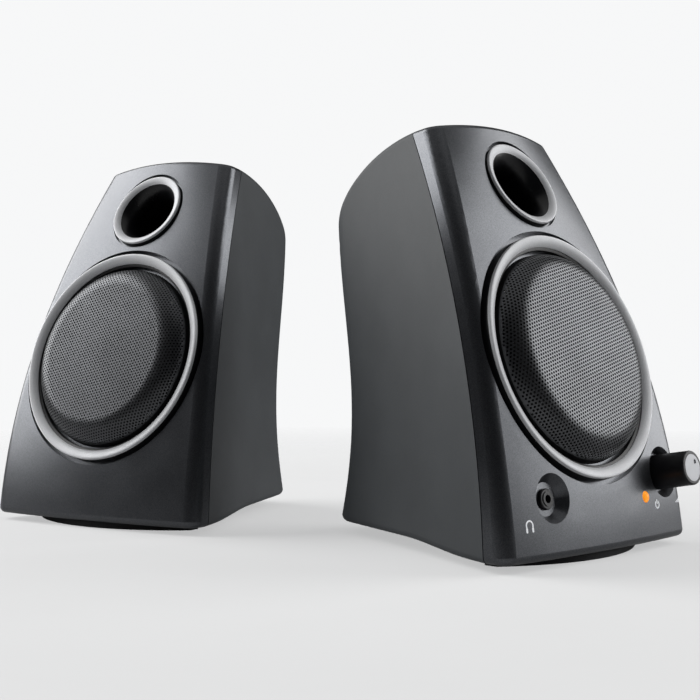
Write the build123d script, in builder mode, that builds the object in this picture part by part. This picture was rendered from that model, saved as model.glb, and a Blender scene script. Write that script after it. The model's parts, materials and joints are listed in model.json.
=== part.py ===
from build123d import *
from math import acos, atan2, cos, hypot, radians, sin, sqrt
import os

# A pair of small powered desktop speakers. Every piece is drawn in its own speaker's frame, which has
# X across the front, Y running back from the foot of the front, and Z up from the desk. Each speaker
# is then seated in the pair's frame, whose origin is on the desk under the middle of the pair.

# ---- where the two speakers stand: x, y (mm) and the turn about Z (degrees)
SEATS = {
    "left": (-116.8, 8.6, -32.2),
    "right": (122.0, -91.6, 44.9),
}

# ---- driving dimensions of one enclosure, mm
WALL = 2.6                  # moulded wall of the enclosure
SEAM = 0.5                  # open joint between the front moulding and the rear shell
HEIGHT = 190.0              # desk to the crown of the top
FRONT_ROUND = 7.0           # rounding between the face and its side band
REAR_CORNER_X = 8.1         # centre of a rear corner, from the middle plane
REAR_ROUND = 21.8           # radius of a rear corner
TOP_ROUND = 3.0             # rounding along the top edges
BASE_ROUND = 3.0            # rounding along the bottom edges
TOP_FLAT = 56.0             # where the level brow ends and the top slopes away
TOP_BENDS = ((120.0, 21.5), (100.0, 14.0), (54.0, 54.5))   # radius and turn (degrees) of each bend
ARCH_RADIUS = 230.0         # the top's low arch from side to side
ARCH_HALF = 75.0
BASE_FRONT = 3.4            # underside above the desk, at the front
BASE_REAR = 6.2             # underside above the desk, at the back
BASE_RISE = (22.0, 75.0)    # where the underside starts to rise, and where it is level again
REAR_LINE = ((-4, 144.5), (30, 136.8), (60, 134.6), (100, 138.1), (140, 143.0), (200, 145.0))

# ---- driver opening: centre on the face, tilt of its axis, and the turned steps around it
DRIVER_CENTRE = (0, 14.4, 86.8)
DRIVER_TILT = 17.5
TRIM_OUTER = 55.2
TRIM_INNER = 48.7
TRIM_GROOVE = 57.4          # recess that the trim ring sits in
TRIM_FLOOR = -6.0           # recess floor, measured along the driver's axis
DRIVER_SEAT = -9.0          # where the driver's flange lands
FLANGE = 46.0               # driver flange radius
FLANGE_THICK = 1.5
CHASSIS_HOLE = 38.9
DRIVER_BOSS = 61.0
CHASSIS_WINDOWS = 31.0      # radius at which the chassis windows stand
SCREW_HOLE = 1.7
CONE_RIM = 34.4
CONE_NECK = 10.3            # where the cone, the spider and the dust cap meet the coil's former
POLE_RADIUS = 9.3
GAP_RADIUS = 10.7           # bore of the top plate, round the coil
PLATE_RADIUS = 26.0
MAGNET_RADII = (14.5, 27.0)
PLATE_TOP = -25.2           # the motor's levels along the driver's axis
MAGNET_TOP = -29.2
MAGNET_BACK = -39.2
PLATE_BACK = -43.2
FORMER_RADIUS = 9.7         # bore of the voice coil's former
FORMER_LEVELS = (-30.0, -17.9)
WINDING_TOP = -24.4
SPIDER_PITCH = 0.9          # half a wave of the spider

# ---- reflex port
PORT_CENTRE = (0, 42.7, 163.6)
PORT_TILT = 29.0
PORT_OUTER = 21.2
PORT_INNER = 17.9
PORT_GROOVE = 22.4
PORT_FLOOR = -4.0
PORT_FLANGE = 19.0          # glued behind the face
PORT_BORE = 13.5
PORT_WALL = 1.6
PORT_LENGTH = 58.0

# ---- controls on the right speaker's face: x, z of each centre, and the tilt that they share
CONTROL_TILT = 10.0
KNOB_AT = (51.0, 33.5)
KNOB_RADIUS = 7.9
KNOB_REACH = 15.2           # end of the knob, above the face
KNOB_DISH = (11.6, 8.8, 5.0)   # radius at the face, radius at the floor, depth
CAP_RADIUS = 6.05           # the cap, pressed in the knob's end
POINTER_RADIUS = 3.6        # its pointer dimple, from the knob's axis
POINTER_ANGLE = 45.0        # where the knob points at rest, anticlockwise from the right
SHAFT_RADIUS = 3.0
JACK_AT = (-36.0, 28.1)
JACK_DISH = (10.4, 7.0, 4.0)
JACK_BARREL = 3.0
NUT_RADIUS = 4.4
JACK_BORE = 1.8             # takes a 3.5 mm plug
LAMP_AT = (31.4, 23.7)
LAMP_RADIUS = 2.5
BOARD_DEPTH = 17.0          # front of the control board, behind the middle of the face
BOARD_THICK = 1.6

# ---- connectors in the back: x, z and kind, on the floor of a recess
PANEL_Y = 129.0
PANEL_HALF = 20.0
PANEL_Z = (22.0, 72.0)
SOCKET_BARREL = 3.4
AMP_BOARD_Y = 111.0
CHIP_HEIGHT = 4.5
SINK_HALF = 16.0
SINK_Z = (50.0, 76.0)
FINS = 7
FIN_PITCH = 5.0
CONNECTORS = {
    "left": {"input_jack": (0, 47)},
    "right": {"power_inlet": (0, 33), "line_in_jack": (-9, 57), "speaker_out_jack": (9, 57)},
}
POWER_BORE = 2.8
POWER_PIN = 1.0

# ---- fixings: x, z and landing y of the long case screws, and the feet
CASE_SCREWS = ((20.0, 14.0, 40.0), (22.0, 140.0, 66.0))
WELL_OUTER = 4.5
WELL_BORE = 3.0
POST_RADIUS = 4.0
PILOT = 1.35
SHANK = 1.3
SCREW_HEAD = 2.7
FLANGE_SCREW_RING = 43.3
WELL_FLOOR = 2.5            # wall left between a case screw's head and its post
PLINTH_FRONT = 0.5          # the front plinth: its bowed front, its end corners and its back
PLINTH_END = (50.4, 17.6)
PLINTH_BACK = 24.0
FOOT_RADIUS = 5.0
FOOT_AT = (7.5, 98.0)


def seam_x(z):
    """Half width of the enclosure along the seam between its two mouldings."""
    return 66.9 + 0.026 * z - 0.00093 * z * z


def seam_y(z):
    return 11.2 + 0.008 * z + 0.00179 * z * z


def edge_x(z):
    """Half width of the face, to the sharp corner before it is rounded."""
    return 66.8 - 0.053 * z - 0.00045 * z * z


def edge_y(z):
    return -0.6 + 0.104 * z + 0.00122 * z * z


def face_y(z):
    """The face's middle line, which bows ahead of its edges."""
    return -4.5 + 0.104 * z + 0.00116 * z * z


def face_at(x, z):
    """Point on the face."""
    bow = (edge_y(z) - face_y(z)) / edge_x(z) ** 2
    return Vector(x, face_y(z) + bow * x * x, z)


def rear_y(z):
    """Back of the enclosure on the middle plane: a foot flare, a waist and a fuller shoulder."""
    for (z0, y0), (z1, y1) in zip(REAR_LINE, REAR_LINE[1:]):
        if z <= z1:
            return y0 + (y1 - y0) * (z - z0) / (z1 - z0)
    return REAR_LINE[-1][1]


class Seat:
    """A turned feature's axis: its outward direction, and planes for turned and flat sketches."""

    def __init__(self, centre, outward):
        self.centre = Vector(*centre)
        self.outward = outward
        self.axis = Axis(self.centre, outward)
        across = Vector(0, 0, 1).cross(outward).normalized()
        self.across = across
        self.section = Plane(origin=self.centre, x_dir=across, z_dir=across.cross(outward))

    def flat(self, out):
        """Plane square to the axis, `out` along it."""
        return Plane(origin=self.centre + self.outward * out, x_dir=self.across, z_dir=self.outward)

    def point(self, radius, out):
        return self.centre + self.across * radius + self.outward * out


def tilted(centre, tilt):
    return Seat(centre, Vector(0, -cos(radians(tilt)), sin(radians(tilt))))


DRIVER = tilted(DRIVER_CENTRE, DRIVER_TILT)
PORT = tilted(PORT_CENTRE, PORT_TILT)


def face_seat(x, z):
    """Seat on the face at x, z, square to the board behind the controls rather than to the bow."""
    return tilted(face_at(x, z), CONTROL_TILT)


KNOB = face_seat(*KNOB_AT)
JACK = face_seat(*JACK_AT)
LAMP = face_seat(*LAMP_AT)
CONTROLS = face_seat(0, JACK_AT[1])


def plan_section(z, inset):
    """Plan of the enclosure at height z: bowed face, side bands, straight sides, round back."""
    sx, sy = seam_x(z) - inset, seam_y(z)
    ex, ey = edge_x(z) + 0.5 - inset, edge_y(z) + inset
    ry, rr = rear_y(z) - REAR_ROUND, REAR_ROUND - inset
    a, b = sx - REAR_CORNER_X, ry - sy
    lean = acos(rr / hypot(a, b)) - atan2(b, a)
    tx, ty = REAR_CORNER_X + rr * cos(lean), ry + rr * sin(lean)
    mx = REAR_CORNER_X + rr * sin((radians(90) - lean) / 2)
    my = ry + rr * cos((radians(90) - lean) / 2)
    with BuildSketch(Plane.XY.offset(z)) as plan:
        with BuildLine():
            ThreePointArc((-ex, ey), (0, face_y(z) + inset), (ex, ey))
            Line((ex, ey), (sx, sy))
            Line((sx, sy), (tx, ty))
            ThreePointArc((tx, ty), (mx, my), (REAR_CORNER_X, ry + rr))
            Line((REAR_CORNER_X, ry + rr), (-REAR_CORNER_X, ry + rr))
            ThreePointArc((-REAR_CORNER_X, ry + rr), (-mx, my), (-tx, ty))
            Line((-tx, ty), (-sx, sy))
            Line((-sx, sy), (-ex, ey))
        make_face()
        corners = plan.vertices().sort_by(Axis.Y)[:2]
        fillet(corners, FRONT_ROUND - min(inset, FRONT_ROUND - 2))
    return plan.sketch


def envelope(inset=0.0):
    """Closed outer form of an enclosure, drawn in by `inset` all round."""
    with BuildPart() as body:
        for z, _ in REAR_LINE:
            add(plan_section(z, inset))
        loft()
        add(above_top(inset), mode=Mode.SUBTRACT)
        with BuildSketch(Plane.YZ):
            with BuildLine():
                foot = Line((-40, BASE_FRONT + inset), (BASE_RISE[0], BASE_FRONT + inset))
                rise = Spline(foot @ 1, (BASE_RISE[1], BASE_REAR + inset), tangents=(foot % 1, (1, 0)))
                heel = Line(rise @ 1, (170, BASE_REAR + inset))
                Polyline(heel @ 1, (170, -20), (-40, -20), foot @ 0)
            make_face()
        extrude(amount=100, both=True, mode=Mode.SUBTRACT)
    return body.part


def above_top(inset):
    """Everything over the top: a low arch carried back along a slope that turns down at the rear."""
    with BuildPart() as tool:
        with BuildLine(Plane.YZ) as crown:
            bend = Line((20, HEIGHT - inset), (TOP_FLAT, HEIGHT - inset))
            for radius, turn in TOP_BENDS:
                bend = JernArc(bend @ 1, bend % 1, radius - inset, -turn)
            Line(bend @ 1, bend @ 1 - Vector(0, 0, 60))
        start = Plane(origin=crown.line @ 0, x_dir=(-1, 0, 0), z_dir=crown.line % 0)
        with BuildSketch(start):
            with BuildLine():
                drop = ARCH_HALF ** 2 / (2 * ARCH_RADIUS)
                ThreePointArc((-ARCH_HALF, -drop), (0, 0), (ARCH_HALF, -drop))
                Polyline((ARCH_HALF, -drop), (ARCH_HALF, 45), (-ARCH_HALF, 45), (-ARCH_HALF, -drop))
            make_face()
        sweep(path=crown.line)
    return tool.part


def outline(faces):
    """Edges round the outside of a patch of faces."""
    edges = [edge for face in faces for edge in face.edges()]
    return [edge for edge in edges if sum(edge.is_same(other) for other in edges) == 1]


def rounded_envelope():
    """The outer form with its top and bottom edges rounded."""
    with BuildPart() as body:
        add(envelope())
        tops = [f for f in body.faces() if f.center().Z > 150 and f.normal_at(f.center()).Z > 0.25]
        fillet(outline(tops), TOP_ROUND)
        bottoms = [f for f in body.faces() if f.center().Z < 20 and f.normal_at(f.center()).Z < -0.7]
        fillet(outline(bottoms), BASE_ROUND)
    return body.part


def common(first, *others):
    """Solid that all of the given ones share."""
    with BuildPart() as shared:
        add(first)
        for other in others:
            add(other, mode=Mode.INTERSECT)
    return shared.part


def ahead_of_seam(shift):
    """Everything in front of the seam's surface, after moving that surface back by `shift`."""
    with BuildPart() as zone:
        with BuildSketch(Plane.YZ):
            with BuildLine():
                seam = Spline(*[(seam_y(z) + shift, z) for z in (-12, 45, 100, 150, 205)])
                Polyline(seam @ 1, (-60, 205), (-60, -12), seam @ 0)
            make_face()
        extrude(amount=100, both=True)
    return zone.part


OUTER = rounded_envelope()
INNER = envelope(WALL)


def face_boss(seat, radius, depth):
    """Round boss behind the face, as deep as `depth` along the seat's axis."""
    with BuildPart() as boss:
        with BuildSketch(seat.flat(-depth)):
            Circle(radius)
        extrude(amount=depth + 25)
        add(OUTER, mode=Mode.INTERSECT)
        add(ahead_of_seam(-SEAM / 2), mode=Mode.INTERSECT)
    return boss.part


def y_rod(x, z, radius, y0, y1):
    """Round bar that runs front to back."""
    with BuildPart() as rod:
        with BuildSketch(Plane(origin=(x, y0, z), x_dir=(1, 0, 0), z_dir=(0, 1, 0))):
            Circle(radius)
        extrude(amount=y1 - y0)
    return rod.part


def block(x, y, z):
    """Box between the given pairs of limits."""
    with BuildPart() as solid:
        with BuildSketch(Plane.XY.offset(z[0])):
            with Locations(((x[0] + x[1]) / 2, (y[0] + y[1]) / 2)):
                Rectangle(x[1] - x[0], y[1] - y[0])
        extrude(amount=z[1] - z[0])
    return solid.part


def case_points():
    return [(side * x, z, land) for x, z, land in CASE_SCREWS for side in (-1, 1)]


# ---- enclosure

def make_lip():
    """Tongue behind the front moulding's rim that fits inside the rear shell."""
    with BuildPart() as lip:
        add(common(envelope(WALL + 0.3), ahead_of_seam(3.5)))
        add(common(envelope(1.0), ahead_of_seam(-1.5)))
        add(envelope(WALL + 1.9), mode=Mode.SUBTRACT)
        add(ahead_of_seam(-5), mode=Mode.SUBTRACT)
    return lip.part


def front_baffle(side):
    with BuildPart() as front_baffle:
        add(OUTER)
        add(INNER, mode=Mode.SUBTRACT)
        add(ahead_of_seam(-SEAM / 2), mode=Mode.INTERSECT)
        add(LIP)
        add(face_boss(DRIVER, DRIVER_BOSS, 11.5))
        add(face_boss(PORT, PORT_GROOVE + 2.6, 6.6))
        if side == "right":
            add(face_boss(KNOB, KNOB_DISH[0] + 1.5, KNOB_DISH[2] + 2))
            add(face_boss(JACK, JACK_DISH[0] + 1.5, JACK_DISH[2] + 2))
        for x, z, land in case_points():
            add(common(y_rod(x, z, POST_RADIUS, -20, land - 0.4), OUTER))
            add(y_rod(x, z, PILOT, land - 14, land), mode=Mode.SUBTRACT)
        with BuildSketch(DRIVER.section):
            Polygon((0, -13), (CHASSIS_HOLE, -13), (CHASSIS_HOLE, DRIVER_SEAT), (FLANGE + 0.8, DRIVER_SEAT),
                    (FLANGE + 0.8, TRIM_FLOOR), (TRIM_GROOVE, TRIM_FLOOR), (TRIM_GROOVE, 12), (0, 12),
                    align=None)
        revolve(axis=DRIVER.axis, mode=Mode.SUBTRACT)
        with BuildSketch(PORT.section):
            Polygon((0, -8), (PORT_INNER + 0.3, -8), (PORT_INNER + 0.3, PORT_FLOOR),
                    (PORT_GROOVE, PORT_FLOOR), (PORT_GROOVE, 9), (0, 9), align=None)
        revolve(axis=PORT.axis, mode=Mode.SUBTRACT)
        with BuildSketch(DRIVER.flat(DRIVER_SEAT)):
            with PolarLocations(FLANGE_SCREW_RING, 4, start_angle=45):
                Circle(PILOT)
        extrude(amount=-4, mode=Mode.SUBTRACT)
        if side == "right":
            for seat, dish, bore in ((KNOB, KNOB_DISH, 4.0), (JACK, JACK_DISH, JACK_BARREL + 0.15)):
                with BuildSketch(seat.section):
                    Polygon((0, -12), (bore, -12), (bore, -dish[2]), (dish[1], -dish[2]),
                            (dish[0], 0), (dish[0] + 2.5, 3), (0, 3), align=None)
                revolve(axis=seat.axis, mode=Mode.SUBTRACT)
            with BuildSketch(LAMP.flat(-8)):
                Circle(LAMP_RADIUS + 0.15)
            extrude(amount=14, mode=Mode.SUBTRACT)
    return front_baffle.part


def rear_shell(side):
    low, high = PANEL_Z
    with BuildPart() as rear_shell:
        add(OUTER)
        add(INNER, mode=Mode.SUBTRACT)
        reach = (-PANEL_HALF - WALL, PANEL_HALF + WALL)
        add(common(block(reach, (PANEL_Y - WALL, 160), (low - WALL, high + WALL)), OUTER))
        for x, z, land in case_points():
            add(common(y_rod(x, z, WELL_OUTER, land, 160), OUTER))
        add(ahead_of_seam(SEAM / 2), mode=Mode.SUBTRACT)
        add(block((-PANEL_HALF, PANEL_HALF), (PANEL_Y, 160), (low, high)), mode=Mode.SUBTRACT)
        for x, z, land in case_points():
            add(y_rod(x, z, WELL_BORE, land + WELL_FLOOR, 170), mode=Mode.SUBTRACT)
            add(y_rod(x, z, SHANK + 0.4, land - 1, land + 3), mode=Mode.SUBTRACT)
        for x, z in CONNECTORS[side].values():
            add(y_rod(x, z, SOCKET_BARREL + 0.2, PANEL_Y - 5, PANEL_Y + 2), mode=Mode.SUBTRACT)
    return rear_shell.part


def front_foot():
    """Low plinth under the front moulding, set back from the face and following its bow."""
    with BuildPart() as front_foot:
        with BuildSketch():
            with BuildLine():
                bow = ThreePointArc((-PLINTH_END[0], PLINTH_END[1]), (0, PLINTH_FRONT), PLINTH_END)
                Polyline(bow @ 1, (PLINTH_END[0], PLINTH_BACK), (-PLINTH_END[0], PLINTH_BACK), bow @ 0)
            make_face()
        extrude(amount=BASE_FRONT)
    return front_foot.part


def rear_feet():
    with BuildPart() as rear_feet:
        with BuildSketch():
            with Locations((-FOOT_AT[0], FOOT_AT[1]), (FOOT_AT[0], FOOT_AT[1])):
                Circle(FOOT_RADIUS)
        extrude(amount=BASE_REAR)
        chamfer(rear_feet.faces().filter_by(Axis.Z).group_by(Axis.Z)[0].edges(), 0.8)
    return rear_feet.part


def case_screws():
    with BuildPart() as case_screws:
        for x, z, land in case_points():
            add(y_rod(x, z, SCREW_HEAD, land + WELL_FLOOR, land + WELL_FLOOR + 2.1))
            add(y_rod(x, z, SHANK, land - 11, land + WELL_FLOOR))
    return case_screws.part


# ---- driver opening

def trim_ring():
    with BuildPart() as trim_ring:
        with BuildSketch(DRIVER.section):
            with BuildLine():
                wall = Polyline((TRIM_INNER, -3.2), (TRIM_INNER, TRIM_FLOOR), (TRIM_OUTER, TRIM_FLOOR),
                                (TRIM_OUTER, -0.8))
                crown = TangentArc(wall @ 1, (TRIM_OUTER - 1.1, 0), tangent=wall % 1)
                ThreePointArc(crown @ 1, (51.4, -0.9), (TRIM_INNER, -3.2))
            make_face()
        revolve(axis=DRIVER.axis)
    return trim_ring.part


def grille():
    """Formed pan: a flat middle, a round shoulder and a short wall that stands inside the trim ring."""
    with BuildPart() as grille:
        with BuildSketch(DRIVER.section):
            with BuildLine():
                top = Line((0, 5.9), (35, 5.6))
                shoulder = ThreePointArc(top @ 1, (43.6, 2.4), (46.9, -2.6))
                rim = Line(shoulder @ 1, (47.5, TRIM_FLOOR + 0.1))
                lip = Line(rim @ 1, (46.8, TRIM_FLOOR + 0.1))
                inner = Line(lip @ 1, (46.2, -2.6))
                under = ThreePointArc(inner @ 1, (43.0, 1.9), (35, 4.9))
                Polyline(under @ 1, (0, 5.2), (0, 5.9))
            make_face()
        revolve(axis=DRIVER.axis)
    return grille.part


# ---- reflex port

def port_ring():
    with BuildPart() as port_ring:
        with BuildSketch(PORT.section):
            with BuildLine():
                wall = Polyline((PORT_INNER, -1.5), (PORT_INNER, PORT_FLOOR), (PORT_OUTER, PORT_FLOOR),
                                (PORT_OUTER, -0.5))
                crown = TangentArc(wall @ 1, (PORT_OUTER - 0.7, 0), tangent=wall % 1)
                ThreePointArc(crown @ 1, (19.3, -0.3), (PORT_INNER, -1.5))
            make_face()
        revolve(axis=PORT.axis)
    return port_ring.part


def port_tube():
    """Flared air tube, glued by its flange behind the front moulding."""
    mouth = PORT_INNER - 0.2
    with BuildPart() as port_tube:
        with BuildSketch(PORT.section):
            with BuildLine():
                flare = ThreePointArc((mouth - 0.5, -1.6), (14.4, -5.4), (PORT_BORE, -13))
                Polyline(flare @ 1, (PORT_BORE, -PORT_LENGTH), (PORT_BORE + PORT_WALL, -PORT_LENGTH),
                         (PORT_BORE + PORT_WALL, -8.2), (PORT_FLANGE, -8.2), (PORT_FLANGE, -6.7),
                         (mouth, -6.7), (mouth, -1.6), flare @ 0)
            make_face()
        revolve(axis=PORT.axis)
    return port_tube.part


# ---- driver

def driver_basket():
    """Chassis: flat flange, conical legs with four windows, spider ledge and magnet platform."""
    with BuildPart() as driver_basket:
        with BuildSketch(DRIVER.section):
            Polygon((FLANGE, -7.5), (FLANGE, DRIVER_SEAT), (38.2, DRIVER_SEAT), (25.2, -25.2), (12.5, -25.2),
                    (12.5, -24.2), (24.0, -24.2), (25.1, -22.8), (23.2, -22.8), (23.2, -22.0), (25.8, -22.0),
                    (35.6, -9.8), (35.6, -7.5), align=None)
        revolve(axis=DRIVER.axis)
        with BuildSketch(DRIVER.flat(-21.5)):
            with PolarLocations(CHASSIS_WINDOWS, 4):
                Rectangle(12, 22)
        extrude(amount=11, mode=Mode.SUBTRACT)
        with BuildSketch(DRIVER.flat(DRIVER_SEAT)):
            with PolarLocations(FLANGE_SCREW_RING, 4, start_angle=45):
                Circle(SCREW_HOLE)
        extrude(amount=FLANGE_THICK, mode=Mode.SUBTRACT)
    return driver_basket.part


def driver_ring(inner, outer, low, high):
    """Plain round plate or ring of the driver's motor."""
    with BuildPart() as ring:
        with BuildSketch(DRIVER.flat(low)):
            Circle(outer)
            Circle(inner, mode=Mode.SUBTRACT)
        extrude(amount=high - low)
    return ring.part


def driver_back_plate():
    """Round steel plate with the pole piece that stands through the magnet and the top plate."""
    with BuildPart() as driver_back_plate:
        with BuildSketch(DRIVER.flat(PLATE_BACK)):
            Circle(PLATE_RADIUS)
        extrude(amount=MAGNET_BACK - PLATE_BACK)
        with BuildSketch(DRIVER.flat(MAGNET_BACK)):
            Circle(POLE_RADIUS)
        extrude(amount=PLATE_TOP - MAGNET_BACK)
    return driver_back_plate.part


def driver_cone():
    with BuildPart() as driver_cone:
        with BuildSketch(DRIVER.section):
            Polygon((CONE_NECK, -18.4), (CONE_RIM - 1.2, -8.0), (CONE_RIM, -8.0), (CONE_RIM, -7.4),
                    (CONE_RIM - 1.4, -7.4), (CONE_NECK, -17.7), align=None)
        revolve(axis=DRIVER.axis)
    return driver_cone.part


def on_dome(radius, crown, sphere):
    """Point of a dome in a turned sketch: `crown` is its top, `sphere` the radius of its ball."""
    return radius, crown - sphere + sqrt(sphere ** 2 - radius ** 2)


def driver_dust_cap():
    with BuildPart() as driver_dust_cap:
        with BuildSketch(DRIVER.section):
            with BuildLine():
                dome = ThreePointArc(*[on_dome(r, -13.1, 20.5) for r in (11.6, 6, 0)])
                under = ThreePointArc(*[on_dome(r, -13.6, 20.0) for r in (0, 6, 11.3)])
                Line(dome @ 1, under @ 0)
                Line(under @ 1, dome @ 0)
            make_face()
        revolve(axis=DRIVER.axis)
    return driver_dust_cap.part


def driver_voice_coil():
    with BuildPart() as driver_voice_coil:
        add(driver_ring(FORMER_RADIUS, CONE_NECK - 0.1, *FORMER_LEVELS))
        add(driver_ring(FORMER_RADIUS, CONE_NECK, FORMER_LEVELS[0], WINDING_TOP))
    return driver_voice_coil.part


def driver_surround():
    """Half-roll rubber edge between the cone's rim and the flange."""
    with BuildPart() as driver_surround:
        with BuildSketch(DRIVER.section):
            with BuildLine():
                inner = Polyline((CONE_RIM, -7.4), (CONE_RIM - 1.6, -7.4), (CONE_RIM - 1.6, -6.8),
                                 (CONE_RIM - 0.5, -6.8))
                roll = ThreePointArc(inner @ 1, (36.2, -4.4), (38.5, -6.9))
                Polyline(roll @ 1, (40.4, -6.9), (40.4, -7.5), (38.1, -7.5))
                ThreePointArc((38.1, -7.5), (36.2, -5.0), (CONE_RIM, -7.4))
            make_face()
        revolve(axis=DRIVER.axis)
    return driver_surround.part


def driver_spider():
    """Corrugated disc that centres the coil."""
    waves = [(CONE_NECK + SPIDER_PITCH * i, -21.2 + 0.4 * (i % 2)) for i in range(16)]
    with BuildPart() as driver_spider:
        with BuildSketch(DRIVER.section):
            Polygon(*waves, (24.9, -21.4), (24.9, -21.9), *[(r, s - 0.5) for r, s in reversed(waves)],
                    align=None)
        revolve(axis=DRIVER.axis)
    return driver_spider.part


def driver_screws():
    with BuildPart() as driver_screws:
        for out, radius, length in ((-7.5, 2.5, 1.7), (-12, SHANK, 4.5)):
            with BuildSketch(DRIVER.flat(out)):
                with PolarLocations(FLANGE_SCREW_RING, 4, start_angle=45):
                    Circle(radius)
            extrude(amount=length)
    return driver_screws.part


# ---- volume control, on the right speaker

def volume_knob():
    """Hollow knob with a core that is pressed on the shaft and a seat for its cap."""
    tip = KNOB_REACH
    with BuildPart() as volume_knob:
        with BuildSketch(KNOB.section):
            Polygon((SHAFT_RADIUS, -3.6), (4.6, -3.6), (4.6, 12.2), (6.3, 12.2), (6.3, -4.2),
                    (KNOB_RADIUS, -4.2), (KNOB_RADIUS - 0.2, tip), (6.1, tip), (6.1, tip - 1.2),
                    (SHAFT_RADIUS, tip - 1.2), align=None)
        revolve(axis=KNOB.axis)
        fillet(volume_knob.edges().filter_by(GeomType.CIRCLE).sort_by_distance(KNOB.point(20, 20))[0], 0.7)
    return volume_knob.part


def knob_cap():
    with BuildPart() as knob_cap:
        with BuildSketch(KNOB.flat(KNOB_REACH - 1.2)):
            Circle(CAP_RADIUS)
        extrude(amount=1.3)
        pointer = (POINTER_RADIUS * cos(radians(POINTER_ANGLE)), POINTER_RADIUS * sin(radians(POINTER_ANGLE)))
        with BuildSketch(KNOB.flat(KNOB_REACH - 0.5)):
            with Locations(pointer):
                Circle(1.0)
        extrude(amount=1, mode=Mode.SUBTRACT)
    return knob_cap.part


def knob_shaft():
    with BuildPart() as knob_shaft:
        with BuildSketch(KNOB.flat(-12)):
            Circle(SHAFT_RADIUS)
        extrude(amount=KNOB_REACH - 1.2 + 12)
    return knob_shaft.part


def volume_pot():
    """Potentiometer: round can, and a bush that the shaft turns in."""
    board = KNOB.outward.dot(CONTROLS.point(0, -BOARD_DEPTH) - KNOB.centre)
    with BuildPart() as volume_pot:
        with BuildSketch(KNOB.flat(board)):
            Circle(7.2)
        extrude(amount=-8.6 - board)
        with BuildSketch(KNOB.flat(-8.6)):
            Circle(3.8)
        extrude(amount=4.4)
        with BuildSketch(KNOB.flat(-12.3)):
            Circle(SHAFT_RADIUS + 0.05)
        extrude(amount=10, mode=Mode.SUBTRACT)
    return volume_pot.part


# ---- headphone socket, lamp and their board

def headphone_jack():
    board = JACK.outward.dot(CONTROLS.point(0, -BOARD_DEPTH) - JACK.centre)
    back = -JACK_DISH[2] - 2.2
    with BuildPart() as headphone_jack:
        with BuildSketch(JACK.flat(board)):
            Rectangle(12, 10)
        extrude(amount=back - board)
        with BuildSketch(JACK.flat(back)):
            Circle(JACK_BARREL)
        extrude(amount=-back - JACK_DISH[2] + 1.9)
        with BuildSketch(JACK.flat(board + 1)):
            Circle(JACK_BORE)
        extrude(amount=30, mode=Mode.SUBTRACT)
    return headphone_jack.part


def headphone_nut():
    with BuildPart() as headphone_nut:
        with BuildSketch(JACK.flat(-JACK_DISH[2])):
            Circle(NUT_RADIUS)
            Circle(JACK_BARREL, mode=Mode.SUBTRACT)
        extrude(amount=1.5)
        rim = headphone_nut.edges().filter_by(GeomType.CIRCLE).sort_by_distance(JACK.point(10, 5))
        chamfer(rim[0], 0.4)
    return headphone_nut.part


def power_lamp():
    """Light pipe from the board to a low dome in the face."""
    board = LAMP.outward.dot(CONTROLS.point(0, -BOARD_DEPTH) - LAMP.centre)
    with BuildPart() as power_lamp:
        with BuildSketch(LAMP.section):
            with BuildLine():
                dome = ThreePointArc(*[on_dome(r, 1.2, 3.2) for r in (LAMP_RADIUS, 1.3, 0)])
                Polyline(dome @ 1, (0, board), (LAMP_RADIUS - 0.6, board), (LAMP_RADIUS, -4), dome @ 0)
            make_face()
        revolve(axis=LAMP.axis)
    return power_lamp.part


def control_board():
    with BuildPart() as control_board:
        with BuildSketch(CONTROLS.flat(-BOARD_DEPTH - BOARD_THICK)):
            with Locations((6, 3.2)):
                Rectangle(104, 19)
        extrude(amount=BOARD_THICK)
    return control_board.part


# ---- amplifier and rear connectors

def rear_jack(x, z):
    """Round audio socket: a block behind the panel and a barrel through it, bored for a plug."""
    with BuildPart() as rear_jack:
        add(block((x - 5, x + 5), (AMP_BOARD_Y + BOARD_THICK, PANEL_Y - WALL - 0.1), (z - 5, z + 5)))
        add(y_rod(x, z, SOCKET_BARREL, PANEL_Y - WALL - 1, PANEL_Y + 1))
        add(y_rod(x, z, JACK_BORE, AMP_BOARD_Y + BOARD_THICK + 2, PANEL_Y + 2), mode=Mode.SUBTRACT)
    return rear_jack.part


def power_inlet(x, z):
    """Round low-voltage inlet with its centre pin."""
    with BuildPart() as power_inlet:
        add(block((x - 6, x + 6), (AMP_BOARD_Y + BOARD_THICK, PANEL_Y - WALL - 0.1), (z - 6, z + 6)))
        add(y_rod(x, z, SOCKET_BARREL, PANEL_Y - WALL - 1, PANEL_Y + 1))
        add(y_rod(x, z, POWER_BORE, PANEL_Y - 9, PANEL_Y + 2), mode=Mode.SUBTRACT)
        add(y_rod(x, z, POWER_PIN, PANEL_Y - 10, PANEL_Y - 1))
    return power_inlet.part


def amp_board():
    with BuildPart() as amp_board:
        add(block((-21, 21), (AMP_BOARD_Y, AMP_BOARD_Y + BOARD_THICK), (21, 78)))
    return amp_board.part


def heatsink():
    """Extruded heatsink: a base on the chip and upright fins towards the front."""
    with BuildPart() as heatsink:
        base = AMP_BOARD_Y - CHIP_HEIGHT
        add(block((-SINK_HALF, SINK_HALF), (base - 2, base), SINK_Z))
        for i in range(FINS):
            x = -SINK_HALF + i * FIN_PITCH
            add(block((x, x + 2), (base - 12.5, base - 2), SINK_Z))
    return heatsink.part


def amp_chip():
    with BuildPart() as amp_chip:
        add(block((-9, 9), (AMP_BOARD_Y - CHIP_HEIGHT, AMP_BOARD_Y), (56, 68)))
    return amp_chip.part


def capacitors():
    with BuildPart() as capacitors:
        for x, radius, length in ((-13, 5, 18), (0, 6.5, 22), (13, 5, 18)):
            add(y_rod(x, 34, radius, AMP_BOARD_Y - length, AMP_BOARD_Y))
    return capacitors.part


# ---- build, seat and write every piece

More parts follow.
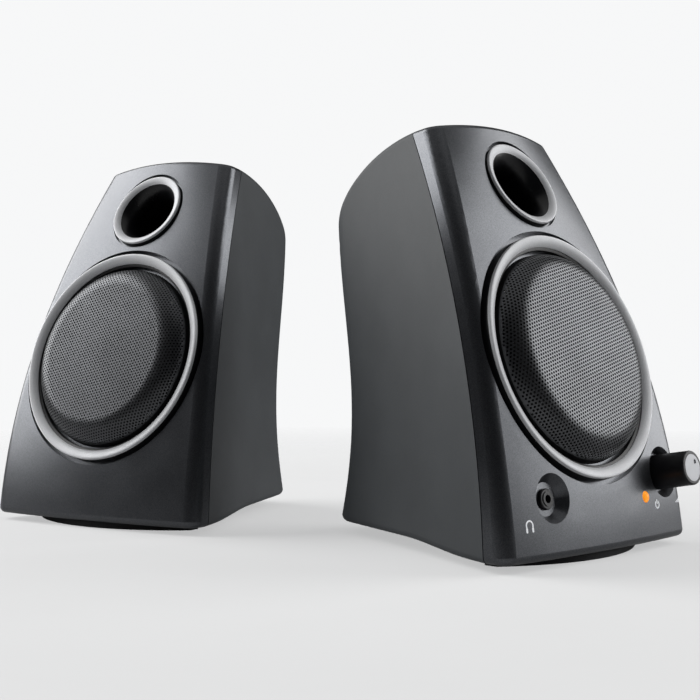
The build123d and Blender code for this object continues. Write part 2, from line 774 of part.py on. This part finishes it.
def write(part, side, name):
    """Seat a piece where its speaker stands, and write it under its node's name."""
    x, y, turn = SEATS[side]
    seated = part.moved(Location((x, y, 0), (0, 0, turn)))
    seated.label = f"{side}_{name}"
    export_step(seated, f"parts/{side}_{name}.step")


os.makedirs("parts", exist_ok=True)
LIP = make_lip()

SAME_IN_BOTH = {
    "front_foot": front_foot(),
    "rear_feet": rear_feet(),
    "case_screws": case_screws(),
    "trim_ring": trim_ring(),
    "grille": grille(),
    "port_ring": port_ring(),
    "port_tube": port_tube(),
    "driver_basket": driver_basket(),
    "driver_top_plate": driver_ring(GAP_RADIUS, PLATE_RADIUS, MAGNET_TOP, PLATE_TOP),
    "driver_magnet": driver_ring(*MAGNET_RADII, MAGNET_BACK, MAGNET_TOP),
    "driver_back_plate": driver_back_plate(),
    "driver_cone": driver_cone(),
    "driver_dust_cap": driver_dust_cap(),
    "driver_voice_coil": driver_voice_coil(),
    "driver_surround": driver_surround(),
    "driver_spider": driver_spider(),
    "driver_screws": driver_screws(),
}
RIGHT_ONLY = {
    "volume_knob": volume_knob(),
    "knob_cap": knob_cap(),
    "knob_shaft": knob_shaft(),
    "volume_pot": volume_pot(),
    "headphone_jack": headphone_jack(),
    "headphone_nut": headphone_nut(),
    "power_lamp": power_lamp(),
    "control_board": control_board(),
    "amp_board": amp_board(),
    "amp_chip": amp_chip(),
    "heatsink": heatsink(),
    "capacitors": capacitors(),
}

for side in SEATS:
    write(front_baffle(side), side, "front_baffle")
    write(rear_shell(side), side, "rear_shell")
    for name, part in SAME_IN_BOTH.items():
        write(part, side, name)
    for name, (x, z) in CONNECTORS[side].items():
        socket = power_inlet(x, z) if name == "power_inlet" else rear_jack(x, z)
        write(socket, side, name)
for name, part in RIGHT_ONLY.items():
    write(part, "right", name)
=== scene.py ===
import json
from math import atan2, cos, hypot, pi, radians, sin

import bpy
import numpy as np
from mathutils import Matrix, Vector
from mathutils.bvhtree import BVHTree


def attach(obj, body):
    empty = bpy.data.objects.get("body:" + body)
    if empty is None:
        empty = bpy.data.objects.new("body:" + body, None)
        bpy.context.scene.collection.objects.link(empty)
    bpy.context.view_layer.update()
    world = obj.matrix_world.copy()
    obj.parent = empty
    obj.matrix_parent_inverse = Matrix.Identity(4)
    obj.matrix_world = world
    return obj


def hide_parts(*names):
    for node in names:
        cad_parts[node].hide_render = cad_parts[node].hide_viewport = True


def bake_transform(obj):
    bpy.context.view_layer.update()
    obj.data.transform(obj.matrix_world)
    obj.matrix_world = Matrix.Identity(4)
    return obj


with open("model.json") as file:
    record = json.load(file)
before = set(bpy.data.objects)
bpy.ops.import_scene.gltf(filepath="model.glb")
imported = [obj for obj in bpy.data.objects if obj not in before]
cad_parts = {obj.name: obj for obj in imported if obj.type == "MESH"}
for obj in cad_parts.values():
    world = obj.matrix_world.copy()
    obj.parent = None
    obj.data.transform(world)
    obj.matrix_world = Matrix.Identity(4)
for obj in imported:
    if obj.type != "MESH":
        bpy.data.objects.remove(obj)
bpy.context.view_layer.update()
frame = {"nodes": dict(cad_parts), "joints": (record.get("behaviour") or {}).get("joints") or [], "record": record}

# A pair of small powered desktop speakers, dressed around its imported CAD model. Lengths in the outlines
# are in millimetres along a turned feature: r from its axis, and s outward from its front rim.

MM = 0.001
SIDES = ("left", "right")
JOINTS = {joint["name"]: joint for joint in frame["joints"]}
UP = Vector((0, 0, 1))

PORT_TILT = radians(29)
CONTROL_TILT = radians(10)


# ---- places, read from the frame

class Seat:
    """A turned feature: its axis, and a zero at the foremost point of the node that it is read from."""

    def __init__(self, node, outward):
        points = np.array([v.co for v in frame["nodes"][node].data.vertices])
        self.outward = outward.normalized()
        self.right = UP.cross(self.outward).normalized()
        self.up = self.outward.cross(self.right)
        middle = []
        for direction in (self.right, self.up):
            values = points @ np.array(direction)
            middle.append((values.max() + values.min()) / 2)
        front = float((points @ np.array(self.outward)).max())
        self.centre = self.right * middle[0] + self.up * middle[1] + self.outward * front

    def at(self, r, angle, s):
        """Point at radius r and angle, s ahead of the zero, in metres."""
        across = self.right * (r * cos(angle)) + self.up * (r * sin(angle))
        return self.centre + (across + self.outward * s) * MM

    def beside(self, x, y, s=0.0):
        """Point x to the right and y up from the axis, s ahead of the zero."""
        return self.centre + (self.right * x + self.up * y + self.outward * s) * MM


def leaned(side, tilt):
    """Direction that a feature of this speaker faces when it leans back by tilt."""
    facing = Vector(JOINTS[f"{side}_cone_travel"]["axis"])
    flat = Vector((facing.x, facing.y, 0)).normalized()
    return flat * cos(tilt) + UP * sin(tilt)


DRIVER = {side: Seat(f"{side}_trim_ring", Vector(JOINTS[f"{side}_cone_travel"]["axis"])) for side in SIDES}
PORT = {side: Seat(f"{side}_port_ring", leaned(side, PORT_TILT)) for side in SIDES}
KNOB = Seat("right_volume_knob", Vector(JOINTS["volume_turn"]["axis"]))
JACK = Seat("right_headphone_nut", leaned("right", CONTROL_TILT))
LAMP = Seat("right_power_lamp", leaned("right", CONTROL_TILT))


# ---- meshes

CREASE = radians(35)        # faces that meet at more than this keep a sharp edge
LATHE_STEPS = 192           # flats round a full turn


def new_mesh(name, points, faces):
    """Object from points and faces, smooth except at its creases."""
    mesh = bpy.data.meshes.new(name)
    mesh.from_pydata([tuple(p) for p in points], [], faces)
    mesh.validate()
    mesh.shade_smooth()
    mesh.set_sharp_from_angle(angle=CREASE)
    piece = bpy.data.objects.new(name, mesh)
    bpy.context.scene.collection.objects.link(piece)
    return piece


def arc(start, middle, end, steps):
    """Points of the circular arc through three points."""
    (ax, ay), (bx, by), (cx, cy) = start, middle, end
    d = 2 * (ax * (by - cy) + bx * (cy - ay) + cx * (ay - by))
    a2, b2, c2 = ax * ax + ay * ay, bx * bx + by * by, cx * cx + cy * cy
    x = (a2 * (by - cy) + b2 * (cy - ay) + c2 * (ay - by)) / d
    y = (a2 * (cx - bx) + b2 * (ax - cx) + c2 * (bx - ax)) / d
    first, via, last = (atan2(p[1] - y, p[0] - x) for p in (start, middle, end))
    turn = (last - first) % (2 * pi)
    if (via - first) % (2 * pi) > turn:
        turn -= 2 * pi
    radius = hypot(ax - x, ay - y)
    angles = [first + turn * i / steps for i in range(steps + 1)]
    return [(x + radius * cos(t), y + radius * sin(t)) for t in angles]


def lathe(name, seat, outline):
    """Closed outline of (r, s) points turned about a seat's axis."""
    points, faces = [], []
    for i in range(LATHE_STEPS):
        angle = 2 * pi * i / LATHE_STEPS
        points += [seat.at(r, angle, s) for r, s in outline]
    n = len(outline)
    for i in range(LATHE_STEPS):
        a, b = i * n, (i + 1) % LATHE_STEPS * n
        for j in range(n):
            k = (j + 1) % n
            faces.append((a + j, b + j, b + k, a + k))
    return new_mesh(name, points, faces)


def finish_piece(piece, material, body=None, nodes=()):
    """Material, slot, body and the CAD nodes that the piece stands for."""
    piece.data.materials.append(MATERIALS[material])
    if nodes:
        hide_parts(*nodes)
    if body:
        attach(piece, body)
    return piece


# ---- materials

class Shader:
    """A Principled shader and the few node patterns that the finishes share."""

    def __init__(self, name, **constants):
        self.material = bpy.data.materials.new(name)
        self.material.use_nodes = True
        self.tree = self.material.node_tree
        self.surface = self.tree.nodes["Principled BSDF"]
        self.place = self.tree.nodes.new("ShaderNodeTexCoord").outputs["Object"]
        for socket, value in constants.items():
            self.surface.inputs[socket.replace("_", " ")].default_value = value

    def node(self, kind, inputs=None, **properties):
        made = self.tree.nodes.new(kind)
        for key, value in properties.items():
            setattr(made, key, value)
        for key, value in (inputs or {}).items():
            if isinstance(value, bpy.types.NodeSocket):
                self.tree.links.new(value, made.inputs[key])
            else:
                made.inputs[key].default_value = value
        return made

    def noise(self, scale, detail=4.0, rough=0.55):
        node = self.node("ShaderNodeTexNoise", {"Vector": self.place, "Scale": scale,
                                                "Detail": detail, "Roughness": rough})
        return node.outputs["Fac"]

    def cells(self, scale, output="Distance"):
        return self.node("ShaderNodeTexVoronoi", {"Vector": self.place, "Scale": scale}).outputs[output]

    def spread(self, value, low, high, start=0.3, end=0.7):
        """Value remapped from start..end to low..high."""
        node = self.node("ShaderNodeMapRange", {"Value": value, "From Min": start, "From Max": end,
                                                "To Min": low, "To Max": high})
        return node.outputs["Result"]

    def between(self, value, low, high, start=0.3, end=0.7):
        """Colour between two tones, by value."""
        ramp = self.node("ShaderNodeValToRGB", {"Fac": value})
        for stop, place, tone in zip(ramp.color_ramp.elements, (start, end), (low, high)):
            stop.position = place
            stop.color = (*tone, 1)
        return ramp.outputs["Color"]

    def relief(self, height, depth, strength=1.0):
        """Bump of `depth` millimetres, on top of any made before."""
        inputs = {"Height": height, "Distance": depth * MM, "Strength": strength}
        before = self.surface.inputs["Normal"].links
        if before:
            inputs["Normal"] = before[0].from_socket
        self.into("Normal", self.node("ShaderNodeBump", inputs).outputs["Normal"])

    def into(self, socket, value):
        self.tree.links.new(value, self.surface.inputs[socket])


def tones(base, swing):
    return tuple(c * (1 - swing) for c in base), tuple(c * (1 + swing) for c in base)


def moulded(name, base, rough, grain=2600.0, depth=0.012, swing=0.10, **constants):
    """Moulded plastic: fine spark-eroded grain, slight drift in tone and sheen."""
    shader = Shader(name, **constants)
    drift = shader.noise(38.0, 3.0)
    shader.into("Base Color", shader.between(drift, *tones(base, swing)))
    grain_height = shader.noise(grain, 3.0, 0.6)
    shader.into("Roughness", shader.spread(grain_height, rough - 0.05, rough + 0.07))
    shader.relief(grain_height, depth)
    return shader.material


def metallic_paint():
    """Graphite paint with a fine flake under a satin clear coat."""
    shader = Shader("baffle_paint", Metallic=0.85, Coat_Weight=0.25, Coat_Roughness=0.22)
    flake = shader.cells(5200.0, "Color")
    tone = shader.between(flake, (0.075, 0.079, 0.087), (0.140, 0.145, 0.156), 0.15, 0.85)
    shader.into("Base Color", tone)
    shader.into("Roughness", shader.spread(shader.noise(55.0, 2.0), 0.30, 0.34))
    shader.relief(shader.noise(1900.0, 2.0), 0.004)
    return shader.material


def silver_paint():
    shader = Shader("satin_silver", Metallic=0.15)
    flake = shader.cells(6000.0, "Color")
    shader.into("Base Color", shader.between(flake, (0.76, 0.77, 0.79), (0.88, 0.89, 0.91), 0.15, 0.85))
    shader.into("Roughness", shader.spread(shader.noise(90.0, 2.0), 0.48, 0.55))
    shader.relief(shader.noise(2400.0, 2.0), 0.003)
    return shader.material


def gloss_black():
    shader = Shader("gloss_black")
    drift = shader.noise(60.0)
    shader.into("Base Color", shader.between(drift, (0.004, 0.004, 0.005), (0.009, 0.009, 0.011)))
    shader.into("Roughness", shader.spread(drift, 0.26, 0.32))
    shader.relief(shader.noise(260.0, 1.0), 0.004)
    return shader.material


def painted_steel(name, base, rough, metallic):
    """Powder coat with a faint orange-peel surface."""
    shader = Shader(name, Metallic=metallic)
    peel = shader.noise(900.0, 2.0)
    shader.into("Base Color", shader.between(shader.noise(45.0), *tones(base, 0.12)))
    shader.into("Roughness", shader.spread(peel, rough - 0.04, rough + 0.06))
    shader.relief(peel, 0.010)
    return shader.material


def bare_metal(name, base, rough, scale=700.0):
    shader = Shader(name, Metallic=1.0)
    streaks = shader.noise(scale, 3.0, 0.7)
    shader.into("Base Color", shader.between(streaks, *tones(base, 0.08)))
    shader.into("Roughness", shader.spread(streaks, rough - 0.06, rough + 0.08))
    shader.relief(streaks, 0.004)
    return shader.material


def pressed_fibre(name, base, scale=1500.0, depth=0.03):
    shader = Shader(name)
    fibre = shader.noise(scale, 5.0, 0.75)
    shader.into("Base Color", shader.between(fibre, *tones(base, 0.35)))
    shader.into("Roughness", shader.spread(fibre, 0.75, 0.92))
    shader.relief(fibre, depth)
    return shader.material


def woven_cloth(name, base):
    """Coarse resin-stiffened weave."""
    shader = Shader(name)
    warp = shader.node("ShaderNodeTexWave", {"Vector": shader.place, "Scale": 420.0, "Distortion": 0.6},
                       bands_direction="X").outputs["Fac"]
    weft = shader.node("ShaderNodeTexWave", {"Vector": shader.place, "Scale": 420.0, "Distortion": 0.6},
                       bands_direction="Z").outputs["Fac"]
    weave = shader.node("ShaderNodeMath", {0: warp, 1: weft}, operation="MULTIPLY").outputs["Value"]
    shader.into("Base Color", shader.between(weave, *tones(base, 0.3)))
    shader.into("Roughness", shader.spread(weave, 0.6, 0.8))
    shader.relief(weave, 0.08)
    return shader.material


def wound_copper():
    shader = Shader("copper_coil", Metallic=1.0)
    turns = shader.node("ShaderNodeTexWave", {"Vector": shader.place, "Scale": 900.0, "Distortion": 0.0},
                        bands_direction="Z").outputs["Fac"]
    shader.into("Base Color", shader.between(turns, (0.35, 0.13, 0.05), (0.75, 0.34, 0.17)))
    shader.into("Roughness", shader.spread(turns, 0.25, 0.4))
    shader.relief(turns, 0.05)
    return shader.material


def amber_lens():
    """Translucent amber dome, lit from the lamp behind it."""
    shader = Shader("amber_lamp", Roughness=0.25, Emission_Strength=0.9)
    glow = shader.noise(700.0, 2.0)
    shader.into("Base Color", shader.between(glow, (0.85, 0.25, 0.015), (1.0, 0.42, 0.05)))
    shader.into("Emission Color", shader.between(glow, (0.80, 0.22, 0.01), (1.0, 0.36, 0.03)))
    shader.relief(glow, 0.01)
    return shader.material


def solder_mask():
    """Green board with its copper tracks showing through."""
    shader = Shader("circuit_board", Coat_Weight=0.4)
    tracks = shader.cells(260.0)
    shader.into("Base Color", shader.between(tracks, (0.012, 0.075, 0.025), (0.03, 0.17, 0.06), 0.35, 0.45))
    shader.into("Roughness", shader.spread(shader.noise(400.0), 0.3, 0.42))
    shader.relief(tracks, 0.03)
    return shader.material


def ink_with_painted_glow():
    # Light grey print with a painted glow: a white emission brightens the marks beyond what lit ink would give.
    shader = Shader("ink_with_painted_glow", Emission_Color=(0.8, 0.82, 0.85, 1), Emission_Strength=0.45)
    speckle = shader.noise(2200.0, 3.0)
    shader.into("Base Color", shader.between(speckle, (0.78, 0.79, 0.81), (0.92, 0.93, 0.95)))
    shader.into("Roughness", shader.spread(speckle, 0.45, 0.6))
    shader.relief(speckle, 0.006)
    return shader.material


MATERIALS = {
    "baffle_paint": metallic_paint(),
    "shell_plastic": moulded("shell_plastic", (0.052, 0.058, 0.063), 0.56, depth=0.014),
    "black_rubber": moulded("black_rubber", (0.012, 0.012, 0.013), 0.78, 1500.0, 0.03),
    "black_plastic": moulded("black_plastic", (0.010, 0.010, 0.012), 0.42, 2200.0, 0.008),
    "knob_grey": moulded("knob_grey", (0.50, 0.51, 0.53), 0.40, 2400.0, 0.006, 0.05, Metallic=0.3),
    "gloss_black": gloss_black(),
    "satin_silver": silver_paint(),
    "grille_metal": painted_steel("grille_metal", (0.125, 0.128, 0.134), 0.36, 0.85),
    "black_steel": painted_steel("black_steel", (0.014, 0.014, 0.015), 0.5, 0.2),
    "zinc_steel": bare_metal("zinc_steel", (0.55, 0.55, 0.52), 0.35),
    "bare_aluminium": bare_metal("bare_aluminium", (0.6, 0.61, 0.62), 0.38),
    "ferrite": pressed_fibre("ferrite", (0.045, 0.045, 0.047), 900.0, 0.04),
    "cone_paper": pressed_fibre("cone_paper", (0.018, 0.018, 0.019)),
    "spider_cloth": woven_cloth("spider_cloth", (0.42, 0.27, 0.10)),
    "copper_coil": wound_copper(),
    "amber_lamp": amber_lens(),
    "circuit_board": solder_mask(),
    "capacitor_sleeve": moulded("capacitor_sleeve", (0.02, 0.03, 0.06), 0.3, 900.0, 0.006),
    "ink_with_painted_glow": ink_with_painted_glow(),
}


def dress_cad_nodes():
    """Every CAD node takes the finish of its slot in the record."""
    slots = {part["node"]: part["material_slot"] for part in frame["record"]["subparts"]}
    for name, node in frame["nodes"].items():
        for slot in node.material_slots:
            slot.material = MATERIALS[slots[name]]


# ---- perforated grille

PITCH = 1.7                 # centre to centre of the holes, mm
HOLE = 0.55                 # hole radius
ROWS_TURN = radians(14)     # how far the rows of holes rise to the right
HOLE_SIDES = 12
MARGIN = 0.4                # least solid sheet outside the outermost holes
SHEET = 0.6                 # sheet thickness
PAN_WALL = (47.5, -5.9)     # foot of the wall that the sheet turns down into


def pan_outline():
    """Outline of the perforated sheet, from the middle of the pan to the end of its shoulder."""
    middle, shoulder_start = 5.9, (35, 5.6)
    steps = 14
    crown = [(shoulder_start[0] * i / steps, middle + (shoulder_start[1] - middle) * i / steps)
             for i in range(steps)]
    return crown + arc(shoulder_start, (43.6, 2.4), (46.9, -2.6), 40)


class Press:
    """Maps a flat sheet onto the pan: distance from its middle becomes length along the outline."""

    def __init__(self, line):
        line = np.array(line)
        steps = np.diff(line, axis=0)
        self.length = np.concatenate([[0], np.cumsum(np.hypot(*steps.T))])
        self.line = line
        tangent = np.gradient(line, self.length, axis=0)
        self.normal = np.stack([-tangent[:, 1], tangent[:, 0]], 1)

    def reach(self):
        return float(self.length[-1])

    def outline(self, out, under):
        """Point (r, s) at length `out` along the outline, `under` millimetres below the face."""
        r, s = (float(np.interp(out, self.length, self.line[:, i])) for i in (0, 1))
        nr, ns = (float(np.interp(out, self.length, self.normal[:, i])) for i in (0, 1))
        return r - nr * under, s - ns * under


def hexagon(x, y):
    """Corners and edge middles of a cell, anticlockwise."""
    corner = PITCH / 3 ** 0.5
    turns = [radians(30 + 60 * i) for i in range(6)]
    ring = [(x + corner * cos(t), y + corner * sin(t)) for t in turns]
    both = []
    for a, b in zip(ring, ring[1:] + ring[:1]):
        both += [a, ((a[0] + b[0]) / 2, (a[1] + b[1]) / 2)]
    return both


def perforated_grille(side):
    seat = DRIVER[side]
    press = Press(pan_outline())
    edge = press.reach()
    points, faces, known = [], [], {}

    def vertex(x, y, layer):
        out = hypot(x, y)
        if out > edge:
            x, y, out = x * edge / out, y * edge / out, edge
        key = (round(x, 3), round(y, 3), layer)
        if key not in known:
            known[key] = len(points)
            r, s = press.outline(out, layer * SHEET)
            points.append(seat.at(r, atan2(y, x) + ROWS_TURN, s))
        return known[key]

    def cell(x, y):
        rim = hexagon(x, y)
        open_hole = hypot(x, y) < edge - HOLE - MARGIN
        for layer in (0, 1):
            ring = [vertex(*p, layer) for p in rim]
            if not open_hole:
                ring = [v for i, v in enumerate(ring) if v != ring[i - 1]]
                if len(set(ring)) > 2:
                    faces.append(tuple(ring if layer == 0 else reversed(ring)))
                continue
            turns = [radians(30 + 360 * i / HOLE_SIDES) for i in range(HOLE_SIDES)]
            hole = [vertex(x + HOLE * cos(t), y + HOLE * sin(t), layer) for t in turns]
            for i in range(HOLE_SIDES):
                j = (i + 1) % HOLE_SIDES
                quad = (ring[i], ring[j], hole[j], hole[i])
                faces.append(quad if layer == 0 else quad[::-1])
            if layer == 0:
                upper = hole
            else:
                for i in range(HOLE_SIDES):
                    j = (i + 1) % HOLE_SIDES
                    faces.append((upper[i], upper[j], hole[j], hole[i]))

    row_step = PITCH * 3 ** 0.5 / 2
    rows = int(edge / row_step) + 2
    for row in range(-rows, rows + 1):
        for column in range(-rows - 2, rows + 3):
            x, y = (column + row % 2 / 2) * PITCH, row * row_step
            if hypot(x, y) < edge + PITCH * 0.4:
                cell(x, y)
    mesh = new_mesh(f"{side}_grille_mesh", points, faces)
    finish_piece(mesh, "grille_metal", f"{side}_speaker", [f"{side}_grille"])

    # The wall that the sheet turns down into is black, darker than the sheet: painted shade in the gap between the
    # grille and the ring.
    inner, outer = press.outline(edge, SHEET), press.outline(edge, 0)
    band = [outer, PAN_WALL, (PAN_WALL[0] - SHEET, PAN_WALL[1]), inner]
    rim = lathe(f"{side}_grille_wall_painted_shade", seat, band)
    finish_piece(rim, "black_steel", f"{side}_speaker")


# ---- rings round the two openings: a silver face on a black carrier, whose black walls are painted shade in the grooves beside the face

def bezel(side, name, seat, face, carrier_painted_shade):
    """Silver face and the black carrier under it, in place of one ring; the carrier's black walls paint the shade
    of the grooves beside the face.
    """
    body = f"{side}_speaker"
    silver = lathe(f"{side}_{name}_face", seat, face)
    finish_piece(silver, "satin_silver", body, [f"{side}_{name}"])
    # Black carrier: its outer and inner walls stand in for the shade in the grooves either side of the silver face
    # (painted shade).
    black = lathe(f"{side}_{name}_carrier", seat, carrier_painted_shade)
    finish_piece(black, "black_plastic", body)


def rings(side):
    crown = arc((54.3, 0), (52.2, -0.6), (50.1, -2.1), 12)
    bezel(side, "trim_ring", DRIVER[side],
          [(55.1, -1.4), (55.1, -0.7), (54.8, -0.15), *crown, (50.1, -2.5), (50.5, -2.5)],
          [(55.2, -1.5), (50.0, -2.6), (48.9, -3.1), (48.7, -3.5), (48.7, -6), (55.2, -6)])
    lip = arc((20.6, 0), (19.1, -0.35), (17.2, -1.5), 12)
    bezel(side, "port_ring", PORT[side],
          [(21.1, -1.2), (21.1, -0.5), (20.9, -0.12), *lip, (17.3, -1.59), (18.0, -1.59)],
          [(21.2, -1.3), (18.0, -1.7), (17.9, -1.8), (17.9, -4), (21.2, -4)])


# ---- soft edges of the driver, between the speaker and its cone

def driver_surround(side):
    """Rubber half roll with its glue lands on the cone and on the flange."""
    top = arc((33.9, -6.8), (36.2, -4.4), (38.5, -6.9), 24)
    under = arc((38.1, -7.5), (36.2, -5.0), (34.4, -7.4), 24)
    outline = [(32.8, -7.4), (32.8, -6.8), *top, (40.4, -6.9), (40.4, -7.5), *under]
    seat = DRIVER[side]
    piece = lathe(f"{side}_surround_roll", seat, outline)
    finish_piece(piece, "black_rubber", nodes=[f"{side}_driver_surround"])
    seat.at(38.5, 0, -7)
    seat.at(34.0, 0, -7)
    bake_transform(piece)


# ---- symbols printed on the right speaker's face

INK = 0.05                  # how far the ink stands proud of the face, and how deep its underside is
STROKE = 0.65               # width of a drawn line
AHEAD = 20                  # where the marks start before they are laid back onto the face
HEADPHONE_AT = (-15.5, -10.1)   # right and up from the socket's axis
POWER_AT = (9.4, -4.0)          # from the lamp's
VOLUME_AT = (10.2, -13.3)       # from the knob's


def ring_points(x, y, radius, start, end, steps=28):
    return [(x + radius * cos(radians(start + (end - start) * i / steps)),
             y + radius * sin(radians(start + (end - start) * i / steps))) for i in range(steps + 1)]


def stroke(line):
    """Outline of a line drawn with a pen."""
    line = np.array(line, float)
    along = np.gradient(line, axis=0)
    along /= np.hypot(*along.T)[:, None]
    aside = np.stack([-along[:, 1], along[:, 0]], 1) * STROKE / 2
    return [*(line + aside), *(line - aside)[::-1]]


def rounded_bar(x, y, width, height, corner, steps=5):
    points = []
    for cx, cy, start in ((1, 1, 0), (-1, 1, 90), (-1, -1, 180), (1, -1, 270)):
        middle = (x + cx * (width / 2 - corner), y + cy * (height / 2 - corner))
        points += ring_points(*middle, corner, start, start + 90, steps)
    return points


def headphone_mark():
    band = stroke(ring_points(0, 0.5, 1.9, -25, 205))
    return [band, rounded_bar(-1.75, -1.3, 0.95, 2.0, 0.4), rounded_bar(1.75, -1.3, 0.95, 2.0, 0.4)]


def power_mark():
    return [stroke(ring_points(0, 0, 1.6, 125, 415)), rounded_bar(0, 1.2, STROKE, 2.0, 0.25)]


def volume_mark():
    """Wedge that widens to the right, cut into bars."""
    bars = []
    for i in range(5):
        height = 0.6 + 0.5 * i
        bars.append(rounded_bar(-2.2 + 1.1 * i, height / 2 - 1.3, STROKE, height, 0.2))
    return bars


def printed(name, outlines, seat, place, face):
    """Outlines laid on the face at a place beside a seat's axis, as thin raised ink."""
    x, y = place
    points, faces = [], []
    for outline in outlines:
        first = len(points)
        for lift in (INK, -INK):
            for u, v in outline:
                start = seat.beside(x + u, y + v, AHEAD)
                spot = face.ray_cast(start, -seat.outward)[0]
                points.append(spot + seat.outward * lift * MM)
        n = len(outline)
        half = n // 2
        for i in range(half - 1):
            top = (first + i, first + n - 1 - i, first + n - 2 - i, first + i + 1)
            faces += [top, tuple(v + n for v in reversed(top))]
        for i in range(n):
            j = (i + 1) % n
            faces.append((first + i, first + j, first + n + j, first + n + i))
    piece = new_mesh(name, points, faces)
    return finish_piece(piece, "ink_with_painted_glow", "right_speaker")


def printed_marks():
    baffle = frame["nodes"]["right_front_baffle"].data
    face = BVHTree.FromPolygons([v.co for v in baffle.vertices], [p.vertices for p in baffle.polygons])
    printed("headphone_mark", headphone_mark(), JACK, HEADPHONE_AT, face)
    printed("power_mark", power_mark(), LAMP, POWER_AT, face)
    printed("volume_mark", volume_mark(), KNOB, VOLUME_AT, face)


def dress():
    dress_cad_nodes()
    for side in SIDES:
        perforated_grille(side)
        rings(side)
        driver_surround(side)
    printed_marks()


dress()


# ---- studio

def aim(thing, target):
    thing.rotation_euler = (Vector(target) - thing.location).to_track_quat("-Z", "Y").to_euler()


def softbox(name, place, target, size, radiance):
    """Rectangular studio light of a given brightness."""
    data = bpy.data.lights.new(name, "AREA")
    data.shape = "RECTANGLE"
    data.size, data.size_y = size
    data.energy = radiance * pi * size[0] * size[1]
    light = bpy.data.objects.new(name, data)
    light.location = place
    bpy.context.scene.collection.objects.link(light)
    aim(light, target)


def studio():
    softbox("left_box", (-1.08, 0.34, 0.72), (-0.10, 0.0, 0.10), (1.05, 1.15), 4.3)
    softbox("right_box", (1.05, 0.20, 0.51), (0.10, -0.08, 0.10), (0.85, 0.95), 3.2)
    softbox("top_box", (0.0, 0.1, 1.7), (0.0, 0.0, 0.0), (2.2, 2.0), 0.35)


def backdrop():
    """White surround for the eye, with a dim room for the light that reaches the object."""
    world = bpy.data.worlds.new("studio")
    world.use_nodes = True
    tree = world.node_tree
    seen = tree.nodes["Background"]
    seen.inputs["Color"].default_value = (0.93, 0.935, 0.94, 1)
    room = tree.nodes.new("ShaderNodeBackground")
    room.inputs["Color"].default_value = (0.030, 0.031, 0.033, 1)
    path = tree.nodes.new("ShaderNodeLightPath")
    mix = tree.nodes.new("ShaderNodeMixShader")
    tree.links.new(path.outputs["Is Camera Ray"], mix.inputs["Fac"])
    tree.links.new(room.outputs["Background"], mix.inputs[1])
    tree.links.new(seen.outputs["Background"], mix.inputs[2])
    tree.links.new(mix.outputs["Shader"], tree.nodes["World Output"].inputs["Surface"])
    bpy.context.scene.world = world


def floor(radius=1.0, rings=24, segments=96):
    """Pale round floor that fades out into the backdrop."""
    points = [(0, 0, 0)]
    for ring in range(1, rings + 1):
        reach = radius * ring / rings
        for i in range(segments):
            angle = 2 * pi * i / segments
            points.append((reach * cos(angle), reach * sin(angle), 0))
    faces = [(0, 1 + i, 1 + (i + 1) % segments) for i in range(segments)]
    for ring in range(rings - 1):
        a, b = 1 + ring * segments, 1 + (ring + 1) * segments
        faces += [(a + i, b + i, b + (i + 1) % segments, a + (i + 1) % segments) for i in range(segments)]
    plane = new_mesh("floor", points, faces)
    shader = Shader("floor_paper", Roughness=0.9, Emission_Color=(1, 1, 1, 1), Emission_Strength=0.10)
    shader.into("Base Color", shader.between(shader.noise(8.0), (0.80, 0.80, 0.80), (0.83, 0.83, 0.83)))
    length = shader.node("ShaderNodeVectorMath", {0: shader.place}, operation="LENGTH").outputs["Value"]
    shader.into("Alpha", shader.spread(length, 0.55, 0.0, 0.30, 0.95 * radius))
    plane.data.materials.append(shader.material)


def camera():
    """Level with the middle of the grilles, in front of the gap between the speakers."""
    data = bpy.data.cameras.new("camera")
    data.lens = 67.24
    data.sensor_width = 36.0
    view = bpy.data.objects.new("camera", data)
    view.location = (0.01404, -0.64735, 0.0859)
    view.rotation_euler = (radians(90.26), 0, 0)
    bpy.context.scene.collection.objects.link(view)
    bpy.context.scene.camera = view


studio()
backdrop()
floor()
camera()
bpy.context.scene.view_settings.view_transform = "Standard"
